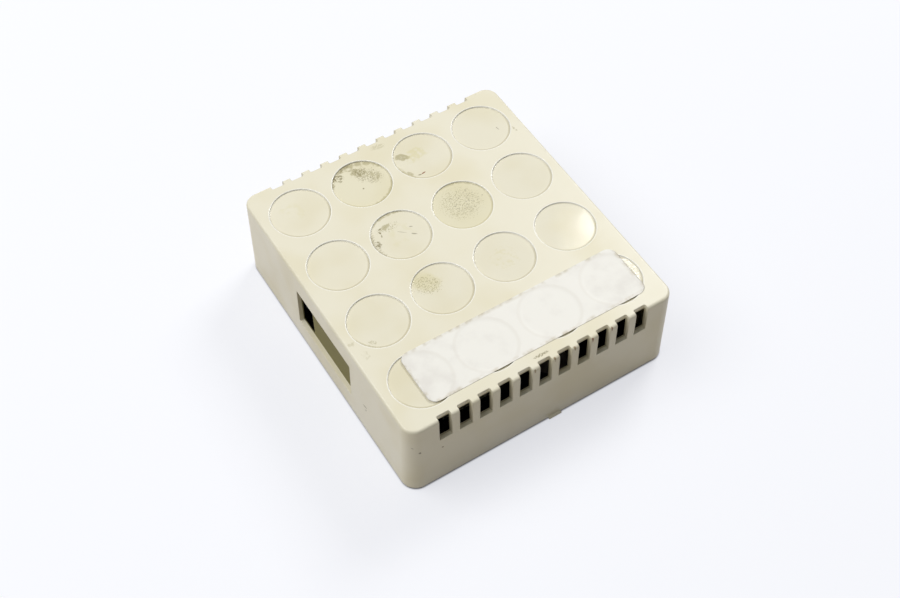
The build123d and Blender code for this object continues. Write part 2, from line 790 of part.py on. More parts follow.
nodes = {
    "cover": cover(),
    "paper_label": paper_label(),
    "base_plate": base_plate(),
    "tone_bar_dong": tone_bar("dong"),
    "tone_bar_ding": tone_bar("ding"),
    "tone_bar_grommets": tone_bar_grommets(),
    "tone_bar_screws": tone_bar_screws(),
    "solenoid_frame": solenoid_frame(),
    "solenoid_screws": solenoid_screws(),
    "coil_bobbin": coil_bobbin(),
    "coil_winding": coil_winding(),
    "coil_wrap": coil_wrap(),
    "guide_tube": guide_tube(),
    "plunger_core": plunger_core(),
    "striker_dong": striker_dong(),
    "striker_ding": striker_ding(),
    "return_spring": return_spring(),
    "terminal_block": terminal_block(),
    "terminal_inserts": terminal_inserts(),
    "terminal_screws": terminal_screws(),
    "block_screw": block_screw(),
    "coil_lead_inner": coil_lead("coil_lead_inner", lead_inner_start_x, max(pole_places)),
    "coil_lead_outer": coil_lead("coil_lead_outer", lead_outer_start_x, min(pole_places)),
}

for node, shape in nodes.items():
    export_step(shape, f"parts/{node}.step")
    volumes = [solid.volume for solid in shape.solids()]
    print(node, "solids", len(volumes), "volume", round(sum(volumes), 1))
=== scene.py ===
"""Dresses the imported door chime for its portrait: worn ivory cover, blank label, and the works inside.

Lengths are in metres, and in millimetres where a name ends in _mm and in the stains, the rim bands and
the face grid, which the shaders measure in millimetres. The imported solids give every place; the finishes,
the label, the winding, the tape and the spring are made here.
"""

import logging
import math
from dataclasses import dataclass
from enum import Enum
from typing import Callable, Mapping, Sequence, Union

import bmesh
import bpy
from mathutils import Matrix, Vector, noise


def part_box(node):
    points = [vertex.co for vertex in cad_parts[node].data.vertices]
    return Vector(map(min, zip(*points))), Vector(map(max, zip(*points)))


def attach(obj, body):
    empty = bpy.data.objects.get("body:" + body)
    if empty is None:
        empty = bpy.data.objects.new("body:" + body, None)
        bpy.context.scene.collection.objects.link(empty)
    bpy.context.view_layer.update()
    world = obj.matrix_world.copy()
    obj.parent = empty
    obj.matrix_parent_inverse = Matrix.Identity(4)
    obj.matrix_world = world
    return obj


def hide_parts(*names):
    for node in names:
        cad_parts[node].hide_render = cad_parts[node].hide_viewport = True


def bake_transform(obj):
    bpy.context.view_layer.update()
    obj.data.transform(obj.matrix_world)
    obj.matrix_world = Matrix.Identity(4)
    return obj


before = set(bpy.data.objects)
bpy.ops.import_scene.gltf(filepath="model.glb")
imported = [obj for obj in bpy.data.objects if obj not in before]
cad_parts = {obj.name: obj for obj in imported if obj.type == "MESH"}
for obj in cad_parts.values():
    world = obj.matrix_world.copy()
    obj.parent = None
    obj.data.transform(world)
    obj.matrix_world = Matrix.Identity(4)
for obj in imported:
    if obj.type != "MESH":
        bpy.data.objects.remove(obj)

MM = 0.001

Pair = tuple[float, float]
Colour = tuple[float, float, float]
Place = tuple[float, float, float]
Socket = bpy.types.NodeSocket
Value = Union[float, Socket]
Paint = Union[float, Socket, Sequence[float]]

log = logging.getLogger("door_chime")


def linear(red: float, green: float, blue: float) -> Colour:
    """Turns a screen colour, 0 to 255 a channel, into the shader's linear one, 0 to 1 a channel."""
    shares = (value / 255 for value in (red, green, blue))
    return tuple(share / 12.92 if share <= 0.04045 else ((share + 0.055) / 1.055) ** 2.4
                 for share in shares)


class Graph:
    """A hand that wires one material's shader nodes."""

    def __init__(self, name: str) -> None:
        """Makes a material with one Principled shader.

        Args:
            name: The material's name.
        """
        self.material = bpy.data.materials.new(name)
        self.material.use_nodes = True
        self.tree = self.material.node_tree
        self.shader = self.tree.nodes["Principled BSDF"]
        self._place: Socket | None = None
        self._axes: tuple[Socket, ...] = ()
        self._grits: dict[Enum, Socket] = {}

    def feed(self, entry: Socket, value: Paint) -> None:
        """Gives an input a number, a colour or another node's output.

        Args:
            entry: The input to set.
            value: A number, a sequence of numbers, or an output socket.
        """
        if isinstance(value, bpy.types.NodeSocket):
            self.tree.links.new(value, entry)
        elif entry.type == "RGBA":
            entry.default_value = (*value, 1.0)
        else:
            entry.default_value = value

    def node(self, kind: str, inputs: Mapping[Union[int, str], Paint] | None = None,
             **settings: Union[str, int, bool]) -> bpy.types.Node:
        """Adds one node.

        Args:
            kind: The node's type, without the words ShaderNode.
            inputs: What to feed, by the input's name or number.
            settings: The node's own settings.

        Returns:
            The node, set and fed.
        """
        step = self.tree.nodes.new("ShaderNode" + kind)
        for name, value in settings.items():
            setattr(step, name, value)
        for entry, value in (inputs or {}).items():
            self.feed(step.inputs[entry], value)
        return step

    def place_mm(self) -> Socket:
        """The point being shaded, in the part's own frame, in millimetres."""
        if self._place is None:
            point = self.node("TexCoord").outputs["Object"]
            self._place = self.node("VectorMath", {0: point, "Scale": 1 / MM}, operation="SCALE").outputs[0]
        return self._place

    def axes(self) -> tuple[Socket, ...]:
        """The point's x, y and z in millimetres, as three outputs that are wired once."""
        self._axes = self._axes or tuple(self.node("SeparateXYZ", {0: self.place_mm()}).outputs)
        return self._axes

    def math(self, operation: str, first: Value, second: Value = 0.0, third: Value = 0.0,
             clamp: bool = False) -> Socket:
        """Adds one sum of up to three numbers or outputs; a clamped one is held between 0 and 1."""
        terms = {0: first, 1: second, 2: third}
        return self.node("Math", terms, operation=operation, use_clamp=clamp).outputs[0]

    def times(self, first: Value, *others: Value) -> Socket:
        """The product of two or more numbers or outputs."""
        for other in others:
            first = self.math("MULTIPLY", first, other)
        return first

    def minus(self, first: Value, second: Value) -> Socket:
        """The first less the second."""
        return self.math("SUBTRACT", first, second)

    def most(self, first: Value, *others: Value) -> Socket:
        """The largest of two or more numbers or outputs."""
        for other in others:
            first = self.math("MAXIMUM", first, other)
        return first

    def unsigned(self, value: Value) -> Socket:
        """A number without its sign."""
        return self.math("ABSOLUTE", value)

    def hypot(self, parts: Sequence[Socket]) -> Socket:
        """The length that two parts at a right angle make."""
        return self.math("SQRT", self.math("ADD", *(self.times(part, part) for part in parts)))

    def far_from(self, middle: Sequence[float], reach: Sequence[float],
                 turns: Sequence[float] = (0.0, 0.0, 0.0)) -> Socket:
        """How far the point lies from a middle, in a frame that is turned and stretched.

        Args:
            middle: The frame's origin in millimetres.
            reach: The length in millimetres that each axis counts as 1.
            turns: The frame's turns about x, y and z in radians.

        Returns:
            The distance as that frame sees it.
        """
        inputs = {"Location": middle, "Rotation": turns, "Scale": reach, "Vector": self.place_mm()}
        moved = self.node("Mapping", inputs, vector_type="TEXTURE").outputs[0]
        return self.node("VectorMath", {0: moved}, operation="LENGTH").outputs["Value"]

    def grey(self, colour: Socket) -> Socket:
        """How light a colour is, 0 to 1."""
        return self.node("RGBToBW", {0: colour}).outputs[0]

    def grit(self, kind: Enum) -> Socket:
        """The mottling of one coarseness, wired once and shared."""
        if kind not in self._grits:
            self._grits[kind] = self.grain(kind.value, 6.0, seed=40 * kind.value)
        return self._grits[kind]

    def fade(self, value: Value, start: float, end: float, top: float = 1.0) -> Socket:
        """A smooth step from 0 at start to top at end; start may be the larger one."""
        foot, head = (0.0, top) if start < end else (top, 0.0)
        inputs = {"Value": value, "From Min": min(start, end), "From Max": max(start, end),
                  "To Min": foot, "To Max": head}
        return self.node("MapRange", inputs, interpolation_type="SMOOTHSTEP").outputs["Result"]

    def spread(self, value: Value, low: float, high: float) -> Socket:
        """Stretches 0 to 1 over low to high."""
        return self.node("MapRange", {"Value": value, "To Min": low, "To Max": high}).outputs["Result"]

    def drift(self, value: Value, middle: float, reach: float) -> Socket:
        """Stretches 0 to 1 over a middle value less and plus a reach."""
        return self.spread(value, middle - reach, middle + reach)

    def grain(self, scale: float, detail: float = 3.0, stretch: Sequence[float] = (1, 1, 1),
              seed: float = 0.0) -> Socket:
        """Noise centred on 0.5: scale is lumps in a millimetre, detail finer layers, seed a shift."""
        inputs = {"Scale": stretch, "Location": (seed, seed, seed), "Vector": self.place_mm()}
        moved = self.node("Mapping", inputs).outputs[0]
        return self.node("TexNoise", {"Scale": scale, "Detail": detail, "Vector": moved}).outputs["Fac"]

    def blend(self, share: Value, under: Paint, over: Paint) -> Socket:
        """Lays one colour over another; the share, 0 to 1, is how much of the upper one shows."""
        return self.node("Mix", {0: share, 6: under, 7: over}, data_type="RGBA").outputs[2]

    def bump(self, height: Socket, depth: float, strength: float = 1.0,
             under: Socket | None = None) -> Socket:
        """Adds relief to the surface.

        Args:
            height: The relief, 0 to 1.
            depth: What a height of 1 stands for, in metres.
            strength: How much of it shows.
            under: A coarser relief that this one lies on.

        Returns:
            The relief's normal.
        """
        relief = self.node("Bump", {"Strength": strength, "Distance": depth, "Height": height})
        if under is not None:
            self.feed(relief.inputs["Normal"], under)
        return relief.outputs[0]

    def soft_edges(self, radius: float) -> Socket:
        """A normal that rounds sharp edges by a small radius."""
        return self.node("Bevel", {"Radius": radius}, samples=6).outputs[0]

    def set(self, **values: Paint) -> None:
        """Feeds the shader's inputs by name; underscores in a name stand for spaces."""
        for name, value in values.items():
            self.feed(self.shader.inputs[name.replace("_", " ")], value)


class Grit(Enum):
    """How coarse a stain's mottling is; the values are lumps in a millimetre."""

    BROAD = 0.3
    LUMPY = 0.85
    SPECKLED = 1.7
    DUSTY = 2.8


class Side(Enum):
    """An outer side of the cover; the value is the axis that it faces."""

    LEFT = 0
    FRONT = 1
    FACE = 2


OLIVE = linear(176, 168, 128)
DARK_OLIVE = linear(132, 122, 84)
YELLOW = linear(218, 210, 158)
RUST = linear(140, 84, 48)
BROWN = linear(150, 126, 88)
GREY_BROWN = linear(128, 120, 98)
STAIN_DEPTH = 3.0
STREAK_PLUMP = 1.4


def mottled(graph: Graph, inside: Socket, patch: "Stain | RimGrime") -> Socket:
    """Breaks a soft patch up into spots.

    Args:
        graph: The material's wiring hand.
        inside: The soft patch, 0 to 1.
        patch: The stain or crescent that says how coarse, dense, soft and strong they are.

    Returns:
        How much grime lies at the point, 0 to the patch's strength.
    """
    level = graph.math("MULTIPLY_ADD", inside, patch.lift, graph.grit(patch.grit))
    full = patch.cut + patch.lift
    return graph.times(graph.fade(level, full - patch.soft, full + patch.soft, patch.strength), inside)


@dataclass(frozen=True)
class Stain:
    """One patch of grime on the cover, in millimetres of the part's frame."""

    middle: Place
    reach: Place
    colour: Colour
    turn: float = 0.0
    side: Side = Side.FACE
    grit: Grit = Grit.LUMPY
    cut: float = 0.5
    soft: float = 0.12
    strength: float = 0.6
    heart: float = 0.3
    lift: float = 0.5

    def mask(self, graph: Graph) -> Socket:
        """Wires this patch's mask.

        Args:
            graph: The material's wiring hand.

        Returns:
            How much grime lies at the point, 0 to strength.
        """
        turns = [0.0, 0.0, 0.0]
        turns[self.side.value] = math.radians(self.turn)
        inside = graph.fade(graph.far_from(self.middle, self.reach, turns), 1.0, self.heart)
        return mottled(graph, inside, self)


@dataclass(frozen=True)
class RimGrime:
    """A crescent of grime that clings inside one recess's rim, towards one direction."""

    column: int
    row: int
    towards: float
    inward: float
    shift: float
    colour: Colour
    strength: float = 0.6
    grit: Grit = Grit.LUMPY
    cut: float = 0.45
    soft: float = 0.14
    lift: float = 0.35
    edge: float = 0.1
    full_share: float = 0.3
    any_height: Place = (1.0, 1.0, 1e6)

    def mask(self, graph: Graph) -> Socket:
        """Wires this crescent's mask.

        Args:
            graph: The material's wiring hand.

        Returns:
            How much grime lies at the point, 0 to strength.
        """
        turn = math.radians(self.towards)
        moved = GRID.spot(self.column, self.row, -self.shift * math.cos(turn), -self.shift * math.sin(turn))
        far = graph.far_from(moved, self.any_height)
        own = graph.far_from(GRID.spot(self.column, self.row, 0.0, 0.0), self.any_height)
        rim = GRID.radius + self.shift
        inner = graph.fade(far, rim - self.inward, rim - self.full_share * self.inward)
        inside = graph.times(inner, graph.fade(own, GRID.radius + self.edge, GRID.radius - self.edge))
        return mottled(graph, inside, self)


@dataclass(frozen=True)
class FaceGrid:
    """The field of round recesses on the cover's face, in millimetres."""

    columns: int = 4
    rows: int = 4
    pitch_x: float = 23.26
    pitch_y: float = 25.16
    radius: float = 10.0
    depth: float = 0.45
    face: float = 33.2

    def spot(self, column: int, row: int, x: float, y: float) -> Place:
        """A place on a recess's floor, counted from the recess's centre."""
        middle_x = (column - (self.columns - 1) / 2) * self.pitch_x
        middle_y = ((self.rows - 1) / 2 - row) * self.pitch_y
        return (middle_x + x, middle_y + y, self.face - self.depth)

    def away(self, graph: Graph, x: Socket, y: Socket) -> Socket:
        """Wires the distance to the nearest recess's centre.

        Args:
            graph: The material's wiring hand.
            x: The point's x in millimetres.
            y: The point's y in millimetres.

        Returns:
            The distance in millimetres.
        """
        parts = []
        for value, pitch, count in ((x, self.pitch_x, self.columns), (y, self.pitch_y, self.rows)):
            cell = graph.math("FLOOR", graph.math("ADD", graph.math("DIVIDE", value, pitch), count / 2))
            cell = graph.math("MINIMUM", graph.most(cell, 0.0), count - 1.0)
            parts.append(graph.minus(value, graph.times(graph.minus(cell, (count - 1) / 2), pitch)))
        return graph.hypot(parts)


GRID = FaceGrid()


@dataclass(frozen=True)
class RimBand:
    """A soft band along every recess's rim; the places are millimetres outward from the rim."""

    start: float
    full: float
    end: float
    gone: float
    top: float = 1.0

    def mask(self, graph: Graph, away: Socket) -> Socket:
        """Wires the band's mask, 0 to top, from the distance to the recess's centre."""
        rim = GRID.radius
        return graph.times(graph.fade(away, rim + self.start, rim + self.full),
                           graph.fade(away, rim + self.gone, rim + self.end, self.top))


def disc_stain(column: int, row: int, x: float, y: float, reach_x: float, reach_y: float, colour: Colour,
               **more: Union[float, Grit]) -> Stain:
    """A stain placed from the centre of one recess, in millimetres; more is other fields of the stain."""
    return Stain(GRID.spot(column, row, x, y), (reach_x, reach_y, STAIN_DEPTH), colour, **more)


def streak(start: Place, end: Place, width: float, colour: Colour, strength: float = 0.8,
           side: Side = Side.FACE) -> Stain:
    """A thin mark between two points of one side, in millimetres.

    Args:
        start: One end.
        end: The other end.
        width: The mark's half width.
        colour: The mark's colour.
        strength: How much of it shows.
        side: The side that it lies on.

    Returns:
        The mark, as a long thin stain.
    """
    middle = tuple((a + b) / 2 for a, b in zip(start, end))
    first, second = {Side.FACE: (0, 1), Side.LEFT: (1, 2), Side.FRONT: (0, 2)}[side]
    run = (end[first] - start[first], end[second] - start[second])
    reach = [STAIN_DEPTH] * 3
    reach[first] = math.hypot(*run) / 2 + width
    reach[second] = STREAK_PLUMP * width
    turn = math.degrees(math.atan2(run[1], run[0]))
    if side is Side.FRONT:
        turn = -turn
    return Stain(middle, tuple(reach), colour, turn, side, Grit.SPECKLED, cut=0.3, soft=0.1,
                 strength=strength)


def disc_streak(column: int, row: int, start: Pair, end: Pair, width: float,
                colour: Colour, strength: float = 0.8) -> Stain:
    """A thin mark on one recess's floor; its ends are placed from the recess's centre in millimetres."""
    return streak(GRID.spot(column, row, *start), GRID.spot(column, row, *end), width, colour, strength)


# The photographed wear, recess by recess, then along the face's edges and down the sides
GRIME = (
    RimGrime(1, 0, 0, 30.0, 0.0, YELLOW, 0.2, Grit.BROAD, 0.25),
    RimGrime(1, 0, 85, 3.4, 3.0, OLIVE, 0.75, cut=0.42),
    RimGrime(1, 0, 120, 2.6, 5.0, DARK_OLIVE, 0.7, Grit.SPECKLED, 0.5),
    RimGrime(1, 0, -60, 1.9, 4.0, OLIVE, 0.6, cut=0.4),
    disc_stain(1, 0, 1.3, 5.3, 7.5, 3.6, OLIVE, turn=-45, cut=0.46, strength=0.75),
    disc_stain(1, 0, 1.3, 5.6, 7.0, 3.0, DARK_OLIVE, turn=-45, grit=Grit.SPECKLED, cut=0.56, soft=0.07,
               strength=0.7),
    disc_stain(1, 0, 3.4, 2.6, 11.0, 7.0, DARK_OLIVE, turn=-45, grit=Grit.DUSTY, cut=0.54, soft=0.05,
               strength=0.65),
    disc_stain(1, 0, -5.6, 6.2, 3.6, 3.4, DARK_OLIVE, grit=Grit.SPECKLED, cut=0.5, soft=0.08,
               strength=0.8),
    disc_stain(1, 0, 5.6, 1.0, 3.6, 4.6, OLIVE, turn=20, grit=Grit.SPECKLED, cut=0.47, soft=0.1),
    disc_streak(1, 0, (-0.7, -1.7), (-0.4, -1.9), 0.4, DARK_OLIVE),
    disc_stain(2, 0, -2.0, 2.0, 8.0, 6.0, YELLOW, cut=0.46, strength=0.45),
    RimGrime(2, 0, 205, 2.0, 9.0, OLIVE, 0.6, cut=0.44),
    disc_stain(2, 0, -6.3, 3.3, 4.4, 2.7, OLIVE, turn=-33, cut=0.36, strength=0.8),
    disc_stain(2, 0, -7.6, -4.4, 2.2, 1.6, OLIVE, turn=-60, cut=0.42),
    disc_streak(2, 0, (-5.8, -6.3), (-4.2, -6.7), 0.3, DARK_OLIVE),
    disc_streak(2, 0, (-4.6, -6.6), (-2.4, -6.2), 0.28, RUST, 0.95),
    disc_stain(1, 1, 0.0, 0.0, 10.2, 10.2, YELLOW, grit=Grit.BROAD, cut=0.5, strength=0.2),
    RimGrime(1, 1, 95, 1.5, 4.0, OLIVE, 0.7, cut=0.42),
    disc_stain(1, 1, -2.0, 5.0, 9.0, 4.0, OLIVE, grit=Grit.DUSTY, cut=0.57, soft=0.05, strength=0.8),
    RimGrime(1, 1, 178, 2.6, 12.0, DARK_OLIVE, 0.6, Grit.SPECKLED, 0.46),
    disc_stain(1, 1, -3.2, 5.6, 4.0, 1.8, OLIVE, turn=15, cut=0.42, strength=0.7),
    disc_stain(1, 1, -8.2, 0.6, 2.0, 3.0, DARK_OLIVE, grit=Grit.SPECKLED, cut=0.47, strength=0.75),
    disc_streak(1, 1, (-4.1, 6.0), (-5.6, 5.4), 0.3, DARK_OLIVE),
    disc_streak(1, 1, (-5.7, 5.2), (-5.3, 3.6), 0.34, DARK_OLIVE, 0.85),
    disc_streak(1, 1, (-5.3, 3.8), (-5.9, 2.2), 0.28, DARK_OLIVE, 0.7),
    disc_streak(1, 1, (-1.2, 2.7), (2.6, -0.6), 0.16, GREY_BROWN, 0.5),
    disc_streak(1, 1, (2.8, -0.8), (4.8, -2.4), 0.3, GREY_BROWN, 0.65),
    disc_streak(1, 1, (3.5, 1.9), (5.3, 1.1), 0.26, GREY_BROWN, 0.6),
    RimGrime(2, 1, 0, 30.0, 0.0, YELLOW, 0.3, Grit.BROAD, 0.2),
    RimGrime(2, 1, 60, 1.4, 1.2, OLIVE, 0.5, cut=0.44),
    disc_stain(2, 1, 0.0, 1.0, 15.0, 15.0, OLIVE, grit=Grit.DUSTY, cut=0.55, soft=0.05, strength=0.7),
    disc_stain(2, 1, 2.0, 1.5, 14.0, 11.0, GREY_BROWN, grit=Grit.SPECKLED, cut=0.63, soft=0.05,
               strength=0.6),
    disc_stain(1, 2, -3.2, 5.0, 8.0, 6.0, YELLOW, turn=-40, cut=0.3, strength=0.35),
    disc_stain(1, 2, -3.4, 4.0, 10.0, 8.0, OLIVE, turn=-40, grit=Grit.DUSTY, cut=0.55, soft=0.05,
               strength=0.85),
    disc_stain(2, 2, 0.0, 0.0, 9.5, 9.5, YELLOW, cut=0.58, strength=0.3),
    disc_stain(0, 0, -2.0, 2.0, 8.0, 8.0, YELLOW, grit=Grit.BROAD, cut=0.55, strength=0.3),
    RimGrime(0, 2, 220, 1.6, 7.0, OLIVE, 0.5, Grit.SPECKLED, 0.5),
    disc_stain(0, 2, -5.4, -5.8, 2.6, 1.5, OLIVE, turn=-35, grit=Grit.SPECKLED, cut=0.5),
    disc_stain(0, 3, 3.5, 1.0, 2.6, 6.0, YELLOW, cut=0.42),
    RimGrime(1, 3, 150, 1.4, 4.0, OLIVE, 0.4, cut=0.46),
    disc_streak(3, 0, (4.7, -1.4), (5.1, -4.0), 0.14, GREY_BROWN),
    disc_streak(3, 2, (8.8, -4.0), (8.9, -4.4), 0.3, YELLOW),
    Stain((-46.4, -15.6, 33.0), (2.2, 3.4, 3.0), OLIVE, strength=0.4),
    Stain((-44.6, -21.6, 33.0), (2.6, 3.8, 3.0), OLIVE, cut=0.54, strength=0.3),
    Stain((0.4, -49.5, 33.0), (5.6, 1.1, 3.0), DARK_OLIVE, grit=Grit.SPECKLED, cut=0.46, strength=0.7),
    Stain((0.8, 49.0, 33.0), (4.6, 2.2, 3.0), OLIVE, turn=-8, grit=Grit.SPECKLED, cut=0.42,
          strength=0.4),
    Stain((44.4, 31.6, 33.0), (0.8, 3.2, 3.0), OLIVE, turn=8, cut=0.4),
    streak((3.0, -52.4, 33.0), (3.4, -53.0, 33.0), 0.45, BROWN),
    streak((10.3, -52.4, 33.0), (10.7, -53.0, 33.0), 0.45, BROWN),
    streak((17.0, -52.7, 33.0), (17.2, -53.1, 33.0), 0.4, RUST),
    streak((24.2, -52.5, 33.0), (24.4, -53.0, 33.0), 0.4, RUST),
    streak((-4.2, -52.9, 33.0), (-4.0, -53.2, 33.0), 0.4, BROWN, 0.7),
    streak((-48.8, -24.9, 13.9), (-48.8, -28.4, 14.8), 0.3, GREY_BROWN, 0.7, Side.LEFT),
    streak((-48.8, -26.9, 12.4), (-48.8, -27.4, 13.2), 0.4, GREY_BROWN, 0.5, Side.LEFT),
    streak((-45.2, -53.3, 21.6), (-44.6, -53.3, 20.8), 0.5, GREY_BROWN, 0.75, Side.FRONT),
    streak((-47.4, -53.1, 24.8), (-46.6, -53.2, 24.0), 0.3, GREY_BROWN, 0.5, Side.FRONT),
    streak((-37.2, -53.3, 18.1), (-36.9, -53.3, 17.8), 0.4, BROWN, 0.8, Side.FRONT),
)


@dataclass(frozen=True)
class IvoryPlastic:
    """Worn ivory moulding: matte skin, glossier recess floors, grime and yellowing, with painted shade and
    highlights.

    The skin's and the window wall's places are millimetres, inward or up; down is counted from the face.
    """

    skin: Colour = linear(235, 230, 209)
    aged: Colour = linear(229, 222, 194)
    inside: Colour = linear(206, 200, 172)
    # Painted shade: the dark olive laid on the inner wall behind each side window.
    behind_window_shade: Colour = linear(134, 128, 86)
    corner_radius: float = 5.2
    skin_depth: float = 1.62
    skin_fade: float = 0.12
    face_down: Pair = (1.2, 0.6)
    inside_down: Pair = (1.2, 1.6)
    window_wall_inward: Pair = (5.4, 5.0)
    window_wall_top: Pair = (25.6, 25.0)
    window_wall_end: Pair = (24.0, 23.0)
    roughness: float = 0.36
    disc_roughness: float = 0.1
    disc_edge: Pair = (-0.1, -0.25)
    smear: float = 0.05
    dulling: float = 0.9
    # The rim colours: a dark line of grime and painted shade inside each rim, and a painted highlight just
    # outside it.
    rim_grime_and_shade: Colour = linear(168, 158, 122)
    rim_strength: float = 0.1
    rim_least: float = 0.35
    # A painted highlight: the pale colour laid just outside each recess rim.
    rim_highlight: Colour = linear(252, 250, 240)
    rim_shade: float = 0.5
    rim_shade_from: Pair = (-0.12, 0.99)
    rim_shade_turn: Pair = (-0.1, 0.7)
    line_band: RimBand = RimBand(-0.34, -0.1, -0.02, 0.1)
    shade_band: RimBand = RimBand(-0.85, -0.5, -0.1, 0.05)
    highlight_band: RimBand = RimBand(-0.12, -0.03, 0.2, 0.42, 0.85)
    edge_radius: float = 0.4 * MM
    wave_depth: float = 0.05 * MM
    pore_depth: float = 0.006 * MM
    relief: float = 0.5
    grime: tuple[Union[Stain, RimGrime], ...] = GRIME

    def clean_and_window_shade(self, graph: Graph) -> Socket:
        """Wires the plastic's own colour, yellower in clouds and on the inside, with painted shade on the
        wall behind each side window.

        Args:
            graph: The material's wiring hand.

        Returns:
            The colour without its grime.
        """
        x, y, z = graph.axes()
        clouds = graph.fade(graph.grain(0.05, 2.0), 0.35, 0.75)
        colour = graph.blend(clouds, self.skin, self.aged)
        half_x, half_y, _ = (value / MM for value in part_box("cover")[1])
        off_x, off_y = graph.unsigned(x), graph.unsigned(y)
        corner = (half_x + half_y - 2 * self.corner_radius) / math.sqrt(2) + self.corner_radius
        slanting = graph.math("MULTIPLY_ADD", graph.math("ADD", off_x, off_y), 1 / math.sqrt(2),
                              self.skin_depth - corner)
        past_skin = graph.most(graph.minus(off_x, half_x - self.skin_depth),
                               graph.minus(off_y, half_y - self.skin_depth), slanting)
        deep = graph.times(graph.fade(past_skin, 0.0, -self.skin_fade),
                           graph.fade(z, *(GRID.face - down for down in self.inside_down)))
        colour = graph.blend(deep, colour, self.inside)
        # Painted shade: the inner wall behind each side window is painted dark olive in place of its shade.
        at_side = graph.fade(off_x, *(half_x - inward for inward in self.window_wall_inward))
        window_wall_shade = graph.times(deep, at_side, graph.fade(z, *self.window_wall_top),
                                  graph.fade(off_y, *self.window_wall_end))
        return graph.blend(window_wall_shade, colour, self.behind_window_shade)

    def material(self) -> bpy.types.Material:
        """Builds the material.

        Returns:
            The finished ivory material.
        """
        graph = Graph("worn_ivory_plastic")
        x, y, z = graph.axes()
        on_face = graph.fade(z, *(GRID.face - down for down in self.face_down))
        away = GRID.away(graph, x, y)
        disc = graph.times(graph.fade(away, *(GRID.radius + out for out in self.disc_edge)), on_face)
        mottle = graph.grit(Grit.BROAD)
        uneven = graph.spread(graph.fade(mottle, 0.35, 0.65), self.rim_least * self.rim_strength,
                              self.rim_strength)
        # Each rim gets a thin mottled dark line, grime and painted shade at the recess's foot, and a darker
        # crescent toward one side, which is painted shade.
        line = graph.times(self.line_band.mask(graph, away), on_face, uneven)
        shade_x, shade_y = self.rim_shade_from
        beyond = GRID.away(graph, graph.minus(x, shade_x), graph.minus(y, shade_y))
        toward = graph.fade(graph.minus(beyond, away), *self.rim_shade_turn, self.rim_shade)
        line = graph.most(line, graph.times(self.shade_band.mask(graph, away), on_face, toward))
        colour = graph.blend(line, self.clean_and_window_shade(graph), self.rim_grime_and_shade)
        # Painted highlight on each rim's rounded edge, just outside the recess.
        light = graph.times(self.highlight_band.mask(graph, away), on_face)
        colour = graph.blend(light, colour, self.rim_highlight)
        for patch in self.grime:
            colour = graph.blend(patch.mask(graph), colour, patch.colour)
        dulled = graph.minus(sum(self.skin) / len(self.skin), graph.grey(colour))
        gloss = graph.math("MULTIPLY_ADD", disc, self.disc_roughness - self.roughness,
                           graph.drift(mottle, self.roughness, self.smear))
        roughness = graph.math("MULTIPLY_ADD", dulled, self.dulling, gloss, clamp=True)
        soft = graph.soft_edges(self.edge_radius)
        waves = graph.bump(graph.grain(0.12, 1.0, seed=4), self.wave_depth, self.relief, soft)
        pores = graph.bump(graph.grain(7.0, 2.0), self.pore_depth, self.relief, waves)
        graph.set(Base_Color=colour, Roughness=roughness, Normal=pores, IOR=1.48)
        return graph.material


@dataclass(frozen=True)
class MouldedPlastic:
    """Plain moulded plastic with a fine spark grain and slight colour drift."""

    name: str
    colour: Colour
    roughness: float = 0.45
    drift: float = 0.06
    grain_depth_mm: float = 0.008
    grain_lumps: float = 5.0
    glow: float = 0.0
    smear: float = 0.06
    relief: float = 0.6
    edge_radius: float = 0.12 * MM

    def material(self) -> bpy.types.Material:
        """Builds the material.

        Returns:
            The finished plastic.
        """
        graph = Graph(self.name)
        darker = tuple(channel * (1 - 2 * self.drift) for channel in self.colour)
        colour = graph.blend(graph.fade(graph.grain(0.15), 0.3, 0.7), self.colour, darker)
        pores = graph.bump(graph.grain(self.grain_lumps, 2.0), self.grain_depth_mm * MM, self.relief,
                           graph.soft_edges(self.edge_radius))
        roughness = graph.drift(graph.grain(0.6, seed=7), self.roughness, self.smear)
        graph.set(Base_Color=colour, Roughness=roughness, Normal=pores)
        if self.glow:
            graph.set(Subsurface_Weight=self.glow, Subsurface_Radius=(MM, MM, MM))
        return graph.material


class Lay(Enum):
    """The way a metal's fine lines run."""

    ALONG_X = (0.04, 1.0, 1.0)
    ALONG_Y = (1.0, 0.04, 1.0)
    ALL_WAYS = (1.0, 1.0, 1.0)


@dataclass(frozen=True)
class Metal:
    """Bare or plated metal with fine lines, smears and dull spots."""

    name: str
    colour: Colour
    tarnish: Colour
    roughness: float = 0.3
    lay: Lay = Lay.ALL_WAYS
    line_depth_mm: float = 0.004
    line_lumps: float = 6.0
    spot_cut: float = 0.62
    spot_soft: float = 0.12
    spot_dulling: float = 0.15
    smear: float = 0.08
    relief: float = 0.5
    edge_radius: float = 0.1 * MM

    def material(self) -> bpy.types.Material:
        """Builds the material.

        Returns:
            The finished metal.
        """
        graph = Graph(self.name)
        spots = graph.fade(graph.grain(0.5, 5.0, seed=2), self.spot_cut - self.spot_soft,
                           self.spot_cut + self.spot_soft)
        lines = graph.grain(self.line_lumps, stretch=self.lay.value)
        roughness = graph.math("ADD", graph.drift(lines, self.roughness, self.smear),
                               graph.times(spots, self.spot_dulling))
        soft = graph.soft_edges(self.edge_radius)
        scratches = graph.bump(lines, self.line_depth_mm * MM, self.relief, soft)
        graph.set(Base_Color=graph.blend(spots, self.colour, self.tarnish), Roughness=roughness,
                  Normal=scratches, Metallic=1.0)
        return graph.material


